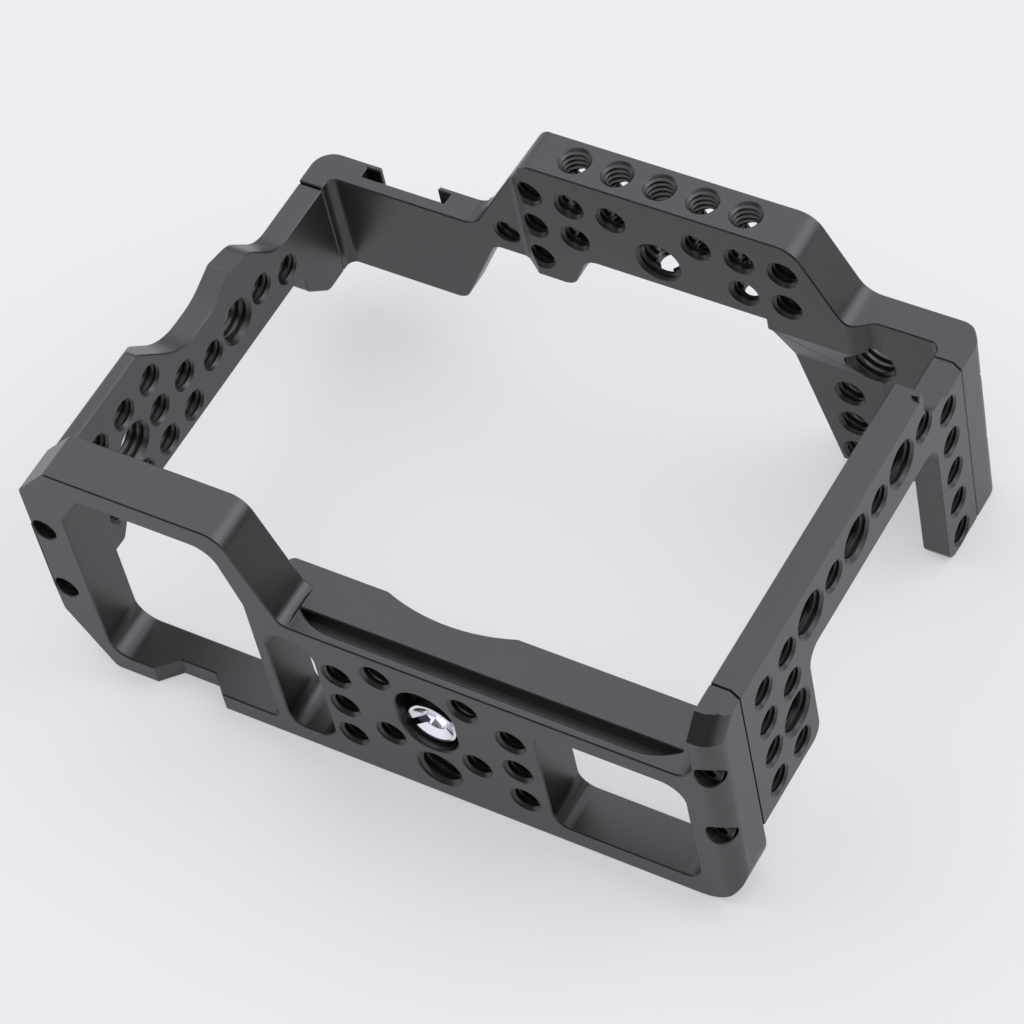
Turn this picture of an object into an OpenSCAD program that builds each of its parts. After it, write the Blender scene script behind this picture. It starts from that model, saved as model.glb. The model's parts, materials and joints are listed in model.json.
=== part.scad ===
/* [Cage] */
// Clear width between the grip side plate and the port side plate
inner_w = 131.4; // [126:0.1:140]
// Distance from the camera screw axis to the inner face of the port side plate
port_reach = 55.9; // [54:0.1:60]
// Clear depth between the bottom plate and the top plate
inner_d = 84; // [80:0.5:92]
// Radius that the lip leaves clear around the lens axis
lens_clear_r = 40; // [36:0.5:41]
// Spacing of the accessory holes on the side plates and the top plate
hole_pitch = 8.85; // [8.6:0.05:9]
// Distance from a plate seam to the first column of side plate holes
hole_start = 7; // [6.5:0.1:8]
// Height of the uppermost hole row on both side plates
side_row_h = 44.5; // [44:0.1:46]

/* [Bottom plate] */
// Thickness of the bottom plate
bottom_t = 10; // [9:0.5:12]
// Height of the deep section beside the battery door
battery_h = 58.5; // [57:0.5:62]
// Height of the flat shelf below the lens
shelf_h = 37.4; // [36.8:0.1:38.4]
// Height of the lip below the shelf, measured down from it
lip_h = 4.9; // [3:0.1:6]
// Reach of the lip past the inner face of the bottom plate
lip_reach = 4.3; // [3:0.1:5]
// Width of the battery window
battery_window_w = 37.3; // [34:0.1:38]
// Height of the battery window
battery_window_h = 48.8; // [46:0.1:49]
// Width of the rim between the battery window and the grip side
battery_rim = 8.4; // [8:0.1:10]
// Thickness of the rail under the windows
rail_h = 4.6; // [4:0.1:5]
// Width of the tall slot between the battery window and the hole field
tall_slot_w = 10.1; // [8:0.1:11]
// Height of the tall slot and of the port side window
window_h = 28.6; // [27:0.1:29]
// Width of the bar between the battery window and the tall slot
bar_w = 2.5; // [2:0.1:3]
// Width of the port side window
port_window_w = 29.9; // [27:0.1:31]
// Width of the rim between the port side window and the port side plate's inner face
port_rim = 2.7; // [2.4:0.1:4]
// Spacing of the accessory holes on the bottom plate
bottom_pitch = 9; // [8.8:0.05:9.1]
// Height of the lowest hole row on the bottom plate
bottom_row_h = 9; // [8.6:0.1:9.4]
// Radius of the rounded corner between the bottom plate's outer face and its port side
corner_round_r = 4; // [3:0.1:4.5]
// Depth of the 45 degree slope over that face's upper port corner
front_slope = 4; // [2:0.1:4.5]
// Width of the groove in the shelf
groove_w = 3.3; // [2.5:0.1:3.5]
// Depth of the groove in the shelf
groove_depth = 3.2; // [1.5:0.1:3.2]
// Length of the groove at the shelf's surface
groove_len = 77.7; // [70:0.1:77.7]

/* [Port side plate] */
// Thickness of the port side plate
port_t = 5.5; // [5.4:0.1:7]
// Height of the port side plate
port_h = 53.5; // [53:0.1:56]
// Height of the ledge at the port corner of the top plate
ledge_h = 44.8; // [44:0.1:46]
// Height of the lower edge of the port side plate's block
port_foot_h = 13.2; // [11:0.1:14]
// Depth of the port side plate's block, from the bottom plate's seam
port_block_d = 22.2; // [21.5:0.1:24]
// Height of the opening over the camera's ports
port_gap_h = 35.7; // [34:0.1:38]
// Width of the leg beside the top plate
leg_w = 11.6; // [10.5:0.1:12]

/* [Grip side plate] */
// Thickness of the grip side plate
grip_t = 5.2; // [5.2:0.1:7]
// Height of the grip side plate
grip_h = 53; // [52.5:0.1:56]
// Width of the bevel along the grip side plate's outer top edge
grip_bevel_w = 2.7; // [1:0.1:3]
// Height of that bevel
grip_bevel_h = 4; // [2:0.1:4.5]

/* [Top plate] */
// Thickness of the top plate
top_t = 9.6; // [9.5:0.1:12]
// Height of the raised section over the viewfinder hump
crown_h = 61.7; // [61:0.1:64]
// Height of the low section that carries the cold shoe
shoe_section_h = 35.3; // [35:0.1:37]
// Height of the clear arch under the pad
arch_h = 39.5; // [39:0.1:40]
// Thickness of the pad that meets the camera's top
pad_t = 2.9; // [2:0.1:3.4]
// Width of the cold shoe channel
shoe_w = 18.7; // [18.6:0.1:19]
// Width of the opening between the cold shoe lips
shoe_gap = 12.9; // [12.5:0.1:13]
// Height of the space under the cold shoe lips
shoe_slot_t = 2.3; // [2.1:0.1:2.4]
// Thickness of the cold shoe lips
shoe_lip_t = 1.1; // [1:0.1:1.5]
// Length of the cold shoe channel
shoe_len = 20; // [18.6:0.1:21]

/* [Threaded holes] */
// Drilled radius of a quarter inch hole
quarter_r = 2.55; // [2.5:0.01:2.65]
// Mouth radius of a quarter inch hole
quarter_mouth_r = 3.25; // [3.2:0.05:3.4]
// Drilled radius of a three eighths inch hole
three_eighths_r = 3.97; // [3.9:0.01:4.1]
// Mouth radius of a three eighths inch hole
three_eighths_mouth_r = 4.85; // [4.8:0.05:4.95]

/* [Fasteners] */
// Shank radius of a corner screw
corner_shank_r = 1.25; // [1:0.05:1.3]
// Head radius of a corner screw
corner_head_r = 2.2; // [2:0.05:2.2]
// Head height of a corner screw
corner_head_h = 2.5; // [2:0.1:3]
// Shank length of a corner screw
corner_shank_len = 12; // [10:0.5:12]
// Width across the flats of a corner screw's socket
corner_socket_af = 2; // [1.5:0.1:2.5]
// Radius of the counterbore over a corner screw
corner_counterbore_r = 2.5; // [2.4:0.05:2.5]
// Depth that a corner screw's head sits below the plate's face
corner_head_sink = 1.5; // [0.5:0.1:2]
// Height of the lower screw in each bottom plate corner
corner_low_h = 22.1; // [22:0.1:22.5]
// Height of the upper screw in each bottom plate corner
corner_high_h = 39.7; // [39.6:0.1:40.1]
// Head radius of the camera screw
camera_head_r = 5.25; // [4.5:0.05:5.5]
// Head height of the camera screw
camera_head_h = 3.4; // [2.5:0.1:3.5]
// Thread radius of the camera screw
camera_thread_r = 3.1; // [3:0.05:3.175]
// Length of thread that stands in the camera
camera_thread_len = 4.6; // [4:0.1:5]
// Travel of the camera screw along its slot
camera_screw_travel = 4.5; // [3:0.1:5]
// Lowest height of the camera screw axis
camera_screw_h = 20.6; // [20.2:0.1:21]
// Radius of the groove that holds the retaining ring
ring_groove_r = 2.3; // [2:0.05:2.5]
// Outer radius of the retaining ring
ring_r = 4.3; // [4:0.05:4.5]
// Thickness of the retaining ring
ring_t = 0.8; // [0.6:0.1:1]
// Width across the flats of the camera screw's hex socket
camera_socket_af = 4; // [3:0.5:5]
// Width of the coin slot in the camera screw's head
coin_slot_w = 1.8; // [1:0.1:2.2]

/* [Hidden] */
$fn = 48;

// Straight steps in each rounded corner of an outline
arc_steps = 8;
// Degrees in half a turn
half_circle = 180;
// A hexagon's half width as a share of its corner radius
hex_share = cos(half_circle / 6);
// Overrun of every cut past the faces that it opens
over = 1;
// Clearance between a shank and its hole, and of the retaining ring
fit_gap = 0.05;
// Side clearance of the camera screw's shank in its slot
slot_gap = 0.25;
// Axial play on each side of the camera screw's head and ring
screw_play = 0.1;
// Side clearance of the camera screw's head in its counterbore
head_gap = 0.8;
// Depth of the camera screw's head face below the bottom plate's outer face
head_recess = 1.5;
// Wall between the grip side's counterbores and the plate's outer side
corner_web = 0.25;

// Main planes
grip_inner_x = port_reach - inner_w;
grip_outer_x = grip_inner_x - grip_t;
port_outer_x = port_reach + port_t;
top_inner_y = bottom_t + inner_d;
top_floor_y = top_inner_y + pad_t;
top_outer_y = top_inner_y + top_t;
lens_axis_y = bottom_t + inner_d / 2;

// Corner radii and bevels of the plates
edge_r = 1.5;
window_r = 4.5;
window_foot_r = 3.5;
shelf_fillet_r = 4.5;
slant_foot_r = 3.1;
slant_top_r = 5;
port_corner_r = 9;
top_bevel = 1.6;
block_corner_r = 3.3;
gap_corner_r = 3.7;
leg_corner_r = 4.5;
ledge_scoop_r = 7;
leg_outer_r = 4;
shoe_corner_r = 4.5;

// Camera screw details
head_bevel = 0.4;
camera_socket_depth = 2.2;
coin_slot_depth = 1.5;
coin_slot_angle = -20;
ring_mouth_w = 3.4;

// Bottom plate places
battery_x = grip_outer_x + battery_rim;
battery_end_x = battery_x + battery_window_w;
tall_slot_x = battery_end_x + bar_w;
port_window_x = port_reach - port_rim - port_window_w;
heel_run = 8.2;
heel_rise = 14.5;
shoulder_run = 7.6;
shoulder_rise = 8.2;
slant_run = 8.3;
slant_foot_gap = 7.2;
slant_foot_x = battery_end_x + slant_foot_gap;
window_slant_run = 4;
window_slant_rise = 13.7;
window_bevel_run = 5.5;
window_bevel_rise = 7.9;
notch_inset = 17.6;
notch_x = grip_outer_x + notch_inset;
notch_w = 15.3;
notch_depth = 3.7;
groove_y = 1.7;
groove_end_x = port_reach - shelf_fillet_r;
groove_mill_r = 12;
lip_overlap = 6.1;
lip_x = slant_foot_x - lip_overlap;
counterbore_r = camera_head_r + head_gap;
counterbore_depth = head_recess + camera_head_h + screw_play;
head_y = head_recess;
ring_pocket_depth = 2 * ring_t;
ring_pocket_y = bottom_t - ring_pocket_depth;
ring_y = ring_pocket_y + screw_play;
big_hole_h = 8.2;

// Port side plate and leg places
leg_y = top_inner_y - leg_w;
leg_row_y = bottom_t + hole_start + 8 * hole_pitch;
leg_first_h = 3.35;
leg_foot_r = 2.5;
ledge_run = 14;
scoop_y = top_inner_y - ledge_run;

// Top plate places
pad_x = -27.7;
corner_recess_w = 16.9;
cove_r = 3.9;
ramp_w = 3.9;
ramp_foot_r = 3;
ramp_crest_r = 2;
pad_end_x = port_reach - corner_recess_w;
crown_run = 16;
crown_x = -26.9;
crown_end_x = 29.2;
crown_end_run = 9.1;
crown_foot_r = 5;
crown_end_r = 5.5;
shoe_foot_r = 5;
shoe_section_foot_h = 10.8;
belly_r = 3;
belly_x = -49;
belly_run = 9.8;
tab_h = 30.7;
tab_end_x = -20;
tab_slant_run = 3.8;
arch_r = 4;
arch_end_x = 21.6;
arch_step_h = 2.7;
arch_step_w = 0.8;
leg_foot_x = 32;
leg_ramp_h = 28;
leg_ramp_rise = 9;
top_row_h = 54;
leg_face_first_h = 3.35;
top_big_h = 46.1;
corner_big_x = 41.2;
corner_big_h = 32.5;
long_hole_inset = 4.9;
long_hole_y = top_inner_y + long_hole_inset;
shoe_inset = 10.9;
shoe_x = grip_outer_x + shoe_inset;
shoe_face_drop = 0.6;
shoe_face_y = top_outer_y - shoe_face_drop;
shoe_floor_y = shoe_face_y - shoe_lip_t - shoe_slot_t;
top_corner_low_h = 16.3;
top_corner_grip_high_h = 29.5;
top_corner_port_high_h = 34.2;

// Corner screw axes, over the side plates
grip_screw_x = grip_outer_x + corner_web + corner_counterbore_r;
port_screw_x = port_reach + port_t / 2;

// Upper edge of the grip side plate, as shares of the clear depth and of its height, with its radii
grip_crest_shares = [
    [0.280, 1.000, 0.04],
    [0.415, 0.774, 0.26],
    [0.551, 0.774, 0.26],
    [0.635, 0.830, 0.02],
    [0.712, 0.804, 0.11],
    [0.800, 0.655, 0.15],
    [1.000, 0.655, 0.00],
];
// Lower edge of the grip side plate, in the same shares
grip_belly_shares = [
    [1.000, 0.204, 0.00],
    [0.933, 0.204, 0.04],
    [0.862, 0.319, 0.05],
    [0.862, 0.425, 0.07],
    [0.095, 0.425, 0.02],
    [0.069, 0.364, 0.02],
    [0.000, 0.364, 0.00],
];
// Quarter inch holes of the grip side plate as columns of the hole grid and rows below the first
grip_quarter_cells = [
    [0, 0], [1, 0], [2, 0],
    [2, 1], [3, 1],
    [0, 2], [1, 2], [2, 2], [3, 2],
    [4, 1.45], [6, 1.45], [6.95, 1.85],
];
// Three eighths inch holes of the grip side plate, in the same grid
grip_big_cells = [[1, 1], [5, 1.45]];
// Quarter inch holes of the port side plate's block and beam
port_quarter_cells = [
    [0, 0], [1, 0], [3, 0], [5, 0], [7, 0],
    [0, 1], [1, 1],
    [0, 2],
    [0, 3], [1, 3],
];
// Three eighths inch holes of the port side plate
port_big_cells = [[2, 0], [4, 0], [6, 0], [1, 2]];
// Quarter inch holes of the top plate as columns from the lens axis and rows below the first
top_quarter_cells = [
    [-3, 0], [-2, 0], [-1, 0], [1, 0], [2, 0], [3, 0],
    [-3, 1], [-2, 1], [2, 1], [3, 1],
    [-3, 2], [-4, 2],
];
// Quarter inch holes of the bottom plate as columns from the screw axis and rows above the lowest
bottom_quarter_cells = [
    [-2, 0], [-2, 1], [-2, 2],
    [-1, 0.6], [-1, 2.5],
    [1, 0.6], [1, 2.5],
    [2, 0], [2, 1], [2, 2],
];

// Points of one rounded corner b between a and c, with its radius held inside both edges
function corner_points(a, b, c, r) =
    let (u = (a - b) / norm(a - b))
    let (v = (c - b) / norm(c - b))
    let (half = acos(max(-1, min(1, u * v))) / 2)
    let (room = min(norm(a - b), norm(c - b)) * 0.49)
    let (t = min(r / tan(half), room))
    let (fit_r = t * tan(half))
    let (centre = b + (u + v) / norm(u + v) * fit_r / sin(half))
    let (from = b + u * t - centre)
    let (to = b + v * t - centre)
    let (start = atan2(from.y, from.x))
    let (turn = (atan2(to.y, to.x) - start + 3 * half_circle) % (2 * half_circle) - half_circle)
    [for (i = [0:arc_steps]) centre + fit_r * [cos(start + turn * i / arc_steps), sin(start + turn * i / arc_steps)]];

// Outline whose corners are [x, y, radius], where a radius of 0 keeps the corner sharp
function rounded(corners) =
    let (n = len(corners))
    [
        for (i = [0:n - 1])
        let (a = corners[(i + n - 1) % n])
        let (b = corners[i])
        let (c = corners[(i + 1) % n])
        each b[2] > 0 ? corner_points([a.x, a.y], [b.x, b.y], [c.x, c.y], b[2]) : [[b.x, b.y]]
    ];

// Corners placed by shares of the clear depth and of a height
function by_shares(shares, height) =
    [for (s = shares) [bottom_t + s[0] * inner_d, s[1] * height, s[2] * height]];

// An outline in X and Z, extruded along Y
module slab_y(from, to) {
    translate([0, to, 0]) rotate([90, 0, 0]) linear_extrude(to - from) children();
}

// An outline in Y and Z, extruded along X
module slab_x(from, to) {
    translate([from, 0, 0]) rotate([90, 0, 90]) linear_extrude(to - from) children();
}

// A cylinder's axis turned from Z to Y
module face_y() {
    rotate([-90, 0, 0]) children();
}

// A cylinder's axis turned from Z to X
module face_x() {
    rotate([0, 90, 0]) children();
}

// A drilled hole with a countersunk mouth at each end
module tapped_hole(drill_r, mouth_r, depth) {
    bevel = mouth_r - drill_r;
    translate([0, 0, -over]) cylinder(r = drill_r, h = depth + 2 * over);
    translate([0, 0, -over]) cylinder(r1 = mouth_r + over, r2 = drill_r, h = bevel + over);
    translate([0, 0, depth - bevel]) cylinder(r1 = drill_r, r2 = mouth_r + over, h = bevel + over);
}

// A quarter inch hole through a thickness
module quarter_hole(depth) {
    tapped_hole(quarter_r, quarter_mouth_r, depth);
}

// A three eighths inch hole through a thickness
module three_eighths_hole(depth) {
    tapped_hole(three_eighths_r, three_eighths_mouth_r, depth);
}

// A long hole with round ends along Z, centred on the camera screw's travel and cut along Y
module travel_slot(r, from, to) {
    for (h = [0, camera_screw_travel])
        translate([0, from, camera_screw_h + h]) face_y() cylinder(r = r, h = to - from);
    translate([-r, from, camera_screw_h]) cube([2 * r, to - from, camera_screw_travel]);
}

// Holes for one corner screw along Y, from the plate's outer face at Y = 0 towards positive Y
module corner_screw_holes() {
    seat = corner_head_sink + corner_head_h;
    translate([0, -over, 0]) face_y() cylinder(r = corner_counterbore_r, h = seat + over);
    face_y() cylinder(r = corner_shank_r + fit_gap, h = seat + corner_shank_len + over);
}

// Places its child at the four bottom plate corner screws
module at_bottom_corners() {
    for (x = [grip_screw_x, port_screw_x])
        for (h = [corner_low_h, corner_high_h])
            translate([x, 0, h]) children();
}

// Places its child at the top plate's corner screws, facing back towards the bottom plate
module at_top_corners() {
    for (h = [top_corner_low_h, top_corner_grip_high_h])
        translate([grip_screw_x, shoe_face_y, h]) mirror([0, 1, 0]) children();
    for (h = [top_corner_low_h, top_corner_port_high_h])
        translate([port_screw_x, top_outer_y, h]) mirror([0, 1, 0]) children();
}

// Outline of the bottom plate
module bottom_outline() {
    polygon(rounded([
        [grip_outer_x, heel_rise, edge_r],
        [grip_outer_x + heel_run, 0, edge_r],
        [port_outer_x, 0, port_corner_r],
        [port_outer_x, port_h, 0],
        [port_reach, port_h, 0],
        [port_reach, shelf_h, shelf_fillet_r],
        [slant_foot_x, shelf_h, slant_foot_r],
        [slant_foot_x - slant_run, battery_h, slant_top_r],
        [grip_outer_x + shoulder_run, battery_h, edge_r],
        [grip_outer_x, battery_h - shoulder_rise, edge_r],
    ]));
}

// The battery window, with its slanted corner beside the shelf
module battery_window() {
    sill = rail_h;
    head = rail_h + battery_window_h;
    polygon(rounded([
        [battery_x, sill, window_r],
        [battery_end_x, sill, edge_r],
        [battery_end_x, head - window_slant_rise, edge_r],
        [battery_end_x - window_slant_run, head, slant_top_r],
        [battery_x + window_bevel_run, head, edge_r],
        [battery_x, head - window_bevel_rise, edge_r],
    ]));
}

// A plain window with wider corners at its head than at its foot
module plain_window(x, w) {
    polygon(rounded([
        [x, rail_h, window_foot_r],
        [x + w, rail_h, window_foot_r],
        [x + w, rail_h + window_h, window_r],
        [x, rail_h + window_h, window_r],
    ]));
}

// The groove along the shelf, whose ends run out on the milling cutter's radius
module shelf_groove() {
    reach = sqrt(groove_w * (2 * groove_mill_r - groove_w));
    first_x = groove_end_x - groove_len + reach;
    last_x = groove_end_x - reach;
    translate([0, 0, shelf_h - groove_depth]) linear_extrude(groove_depth + over) intersection() {
        translate([groove_end_x - groove_len, groove_y]) square([groove_len, groove_w]);
        union() {
            translate([first_x, groove_y]) square([last_x - first_x, groove_w]);
            translate([first_x, groove_y + groove_mill_r]) circle(groove_mill_r);
            translate([last_x, groove_y + groove_mill_r]) circle(groove_mill_r);
        }
    }
}

// The lip that stands in front of the camera, cut back round the lens
module lens_lip() {
    difference() {
        translate([lip_x, bottom_t - edge_r, shelf_h - lip_h])
            linear_extrude(lip_h) polygon(rounded([
                [0, 0, 0],
                [port_reach - lip_x, 0, 0],
                [port_reach - lip_x, edge_r + lip_reach, 0],
                [0, edge_r + lip_reach, edge_r],
            ]));
        translate([0, lens_axis_y, shelf_h - lip_h - over]) cylinder(r = lens_clear_r, h = lip_h + 2 * over);
    }
}

// The pocket in the outer face of the battery rail, with sloping ends
module rail_notch() {
    translate([0, 0, -over]) linear_extrude(rail_h + 2 * over) polygon([
        [notch_x - over, -over],
        [notch_x + notch_depth, notch_depth],
        [notch_x + notch_w - notch_depth, notch_depth],
        [notch_x + notch_w + over, -over],
    ]);
}

// What a rounded corner takes off along an upright edge, in plan, from the port side's face
module port_corner_round() {
    axis_x = port_outer_x - corner_round_r;
    difference() {
        translate([axis_x, -over]) square([corner_round_r + over, corner_round_r + over]);
        translate([axis_x, corner_round_r]) circle(corner_round_r);
    }
}

// The port corner's shaping: slope over the outer face, rounded edges beside both, bevel on top
module port_corner_cut() {
    slope_h = port_h - front_slope;
    slab_x(port_reach, port_outer_x + over) polygon([
        [-over, slope_h - over],
        [front_slope + over, port_h + over],
        [-over, port_h + over],
    ]);
    translate([0, 0, -over]) linear_extrude(port_h + 2 * over) port_corner_round();
    translate([0, 0, slope_h]) rotate([-45, 0, 0])
        translate([0, 0, -port_h / 2]) linear_extrude(port_h) port_corner_round();
    slab_y(-over, bottom_t + over) top_edge_bevel();
}

// Section of the bevel along the port side's outer top edge
module top_edge_bevel() {
    polygon([
        [port_outer_x - top_bevel - over, port_h + over],
        [port_outer_x + over, port_h - top_bevel - over],
        [port_outer_x + over, port_h + over],
    ]);
}

module bottom_plate() {
    color("#5d5d62") difference() {
        union() {
            difference() {
                slab_y(0, bottom_t) bottom_outline();
                slab_y(-over, bottom_t + over) battery_window();
                slab_y(-over, bottom_t + over) plain_window(tall_slot_x, tall_slot_w);
                slab_y(-over, bottom_t + over) plain_window(port_window_x, port_window_w);
                port_corner_cut();
                rail_notch();
            }
            lens_lip();
        }
        shelf_groove();
        travel_slot(counterbore_r, -over, counterbore_depth);
        travel_slot(camera_thread_r + slot_gap, 0, bottom_t);
        travel_slot(ring_r + slot_gap, ring_pocket_y, bottom_t + over);
        for (c = bottom_quarter_cells)
            translate([c[0] * bottom_pitch, 0, bottom_row_h + c[1] * bottom_pitch])
                face_y() quarter_hole(bottom_t);
        translate([0, 0, big_hole_h]) face_y() three_eighths_hole(bottom_t);
        at_bottom_corners() corner_screw_holes();
    }
}

// Section of the bevel along the grip side plate's outer top edge
module grip_edge_bevel() {
    slope = grip_bevel_h / grip_bevel_w;
    polygon([
        [grip_outer_x - over, grip_h - grip_bevel_h - over * slope],
        [grip_outer_x + grip_bevel_w + over, grip_h + over * slope],
        [grip_outer_x - over, grip_h + over * slope],
    ]);
}

module grip_side_plate() {
    corners = concat(
        [[bottom_t, grip_h, 0]],
        by_shares(grip_crest_shares, grip_h),
        by_shares(grip_belly_shares, grip_h)
    );
    color("#55565b") difference() {
        slab_x(grip_outer_x, grip_inner_x) polygon(rounded(corners));
        slab_y(bottom_t - over, top_inner_y + over) grip_edge_bevel();
        for (c = grip_quarter_cells)
            translate([grip_outer_x, bottom_t + hole_start + c[0] * hole_pitch, side_row_h - c[1] * hole_pitch])
                face_x() quarter_hole(grip_t);
        for (c = grip_big_cells)
            translate([grip_outer_x, bottom_t + hole_start + c[0] * hole_pitch, side_row_h - c[1] * hole_pitch])
                face_x() three_eighths_hole(grip_t);
        at_bottom_corners() corner_screw_holes();
        at_top_corners() corner_screw_holes();
    }
}

module port_side_plate() {
    color("#606166") difference() {
        slab_x(port_reach, port_outer_x) polygon(rounded([
            [bottom_t, port_foot_h, 0],
            [bottom_t + port_block_d, port_foot_h, block_corner_r],
            [bottom_t + port_block_d, port_gap_h, gap_corner_r],
            [leg_y, port_gap_h, leg_corner_r],
            [leg_y, 0, leg_foot_r],
            [top_inner_y, 0, 0],
            [top_inner_y, ledge_h, 0],
            [scoop_y, ledge_h, ledge_scoop_r],
            [scoop_y, port_h, 0],
            [bottom_t, port_h, 0],
        ]));
        slab_y(bottom_t - over, scoop_y - top_bevel) top_edge_bevel();
        slab_y(scoop_y + ledge_scoop_r, top_inner_y + over)
            translate([0, ledge_h - port_h]) top_edge_bevel();
        for (c = port_quarter_cells)
            translate([port_reach, bottom_t + hole_start + c[0] * hole_pitch, side_row_h - c[1] * hole_pitch])
                face_x() quarter_hole(port_t);
        for (c = port_big_cells)
            translate([port_reach, bottom_t + hole_start + c[0] * hole_pitch, side_row_h - c[1] * hole_pitch])
                face_x() three_eighths_hole(port_t);
        for (i = [0:4])
            translate([port_reach, leg_row_y, leg_first_h + i * hole_pitch])
                face_x() quarter_hole(port_t);
        at_bottom_corners() corner_screw_holes();
        at_top_corners() corner_screw_holes();
    }
}

// Outline of the top plate in X and Z
module top_outline() {
    polygon(rounded([
        [grip_outer_x, shoe_section_foot_h, 0],
        [belly_x, shoe_section_foot_h, belly_r],
        [belly_x + belly_run, tab_h, belly_r],
        [tab_end_x, tab_h, belly_r],
        [tab_end_x + tab_slant_run, arch_h, arch_r],
        [arch_end_x, arch_h, 0],
        [arch_end_x, arch_h - arch_step_h, 0],
        [arch_end_x + arch_step_w, arch_h - arch_step_h, 0],
        [leg_foot_x, 0, 0],
        [port_outer_x, 0, 0],
        [port_outer_x, ledge_h, 0],
        [crown_end_x + crown_end_run, ledge_h, crown_foot_r],
        [crown_end_x, crown_h, crown_end_r],
        [crown_x, crown_h, edge_r],
        [crown_x - crown_run, shoe_section_h, shoe_foot_r],
        [grip_outer_x, shoe_section_h, 0],
    ]));
}

// Plan of the top plate in X and Y: end blocks, recesses with a cove and a ramp, and the pad
module top_plan() {
    difference() {
        polygon(rounded([
            [grip_outer_x, top_inner_y, 0],
            [port_outer_x, top_inner_y, 0],
            [port_outer_x, top_outer_y, leg_outer_r],
            [crown_x - crown_run, top_outer_y, 0],
            [crown_x - crown_run, shoe_face_y, 0],
            [grip_outer_x, shoe_face_y, shoe_corner_r],
        ]));
        ramped_recess(grip_inner_x, pad_x, 0);
        ramped_recess(port_reach, pad_end_x, ramp_crest_r);
    }
}

// A recess in the top plate's inner face, in plan, with a cove at its wall and a ramp up to the pad
module ramped_recess(wall_x, crest_x, crest_r) {
    side = sign(crest_x - wall_x);
    polygon(rounded([
        [wall_x, top_inner_y - over, 0],
        [wall_x, top_floor_y, cove_r],
        [crest_x - side * ramp_w, top_floor_y, ramp_foot_r],
        [crest_x, top_inner_y, crest_r],
        [crest_x + side * ramp_w, top_inner_y, 0],
        [crest_x + side * ramp_w, top_inner_y - over, 0],
    ]));
}

// The cold shoe channel, open at its upper end, as a cut
module cold_shoe_cut() {
    mouth_x = shoe_x + (shoe_w - shoe_gap) / 2;
    foot = shoe_section_h - shoe_len;
    translate([shoe_x, shoe_floor_y, foot]) cube([shoe_w, shoe_slot_t, shoe_len + over]);
    translate([mouth_x, shoe_floor_y, foot]) cube([shoe_gap, top_outer_y - shoe_floor_y + over, shoe_len + over]);
}

// The leg's inner face, sunk below the pad with a ramp between them
module leg_face_cut() {
    slab_x(arch_end_x - over, pad_end_x + ramp_w) polygon([
        [top_inner_y - over, -over],
        [top_floor_y, -over],
        [top_floor_y, leg_ramp_h],
        [top_inner_y, leg_ramp_h + leg_ramp_rise],
        [top_inner_y - over, leg_ramp_h + leg_ramp_rise],
    ]);
}

module top_plate() {
    color("#595a5f") difference() {
        intersection() {
            linear_extrude(crown_h) top_plan();
            slab_y(top_inner_y, top_outer_y) top_outline();
        }
        slab_y(top_inner_y - over, top_outer_y + over)
            translate([0, ledge_h - port_h]) top_edge_bevel();
        leg_face_cut();
        cold_shoe_cut();
        at_top_corners() corner_screw_holes();
        for (c = top_quarter_cells)
            translate([c[0] * hole_pitch, top_inner_y, top_row_h - c[1] * hole_pitch])
                face_y() quarter_hole(top_t);
        for (i = [0:2])
            translate([4 * hole_pitch, top_floor_y, leg_face_first_h + i * hole_pitch])
                face_y() quarter_hole(top_outer_y - top_floor_y);
        for (i = [-2:2])
            translate([i * hole_pitch, long_hole_y, arch_h]) quarter_hole(crown_h - arch_h);
        translate([0, top_inner_y, top_big_h]) face_y() three_eighths_hole(top_t);
        translate([corner_big_x, top_floor_y, corner_big_h])
            face_y() three_eighths_hole(top_outer_y - top_floor_y);
    }
}

// A corner screw whose head faces negative Y, with the plate's outer face at Y = 0
module corner_screw() {
    color("#2b2c30") translate([0, corner_head_sink, 0]) face_y() difference() {
        union() {
            cylinder(r = corner_head_r, h = corner_head_h);
            cylinder(r = corner_shank_r, h = corner_head_h + corner_shank_len);
        }
        translate([0, 0, -over])
            cylinder(r = corner_socket_af / 2 / hex_share, h = corner_head_h / 2 + over, $fn = 6);
    }
}

// A corner screw through the bottom plate
module bottom_corner_screw(x, h) {
    translate([x, 0, h]) corner_screw();
}

// A corner screw through the top plate, whose outer face is at the given depth
module top_corner_screw(x, face, h) {
    translate([x, face, h]) mirror([0, 1, 0]) corner_screw();
}

// The open retaining ring, which lies in the inner face's pocket and turns in the screw's groove
module camera_screw_ring() {
    color("#3a3b3f") translate([0, ring_y, camera_screw_h]) face_y() difference() {
        cylinder(r = ring_r, h = ring_t);
        translate([0, 0, -over]) cylinder(r = ring_groove_r + fit_gap, h = ring_t + 2 * over);
        translate([-ring_mouth_w / 2, 0, -over]) cube([ring_mouth_w, ring_r + over, ring_t + 2 * over]);
    }
}

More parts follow.
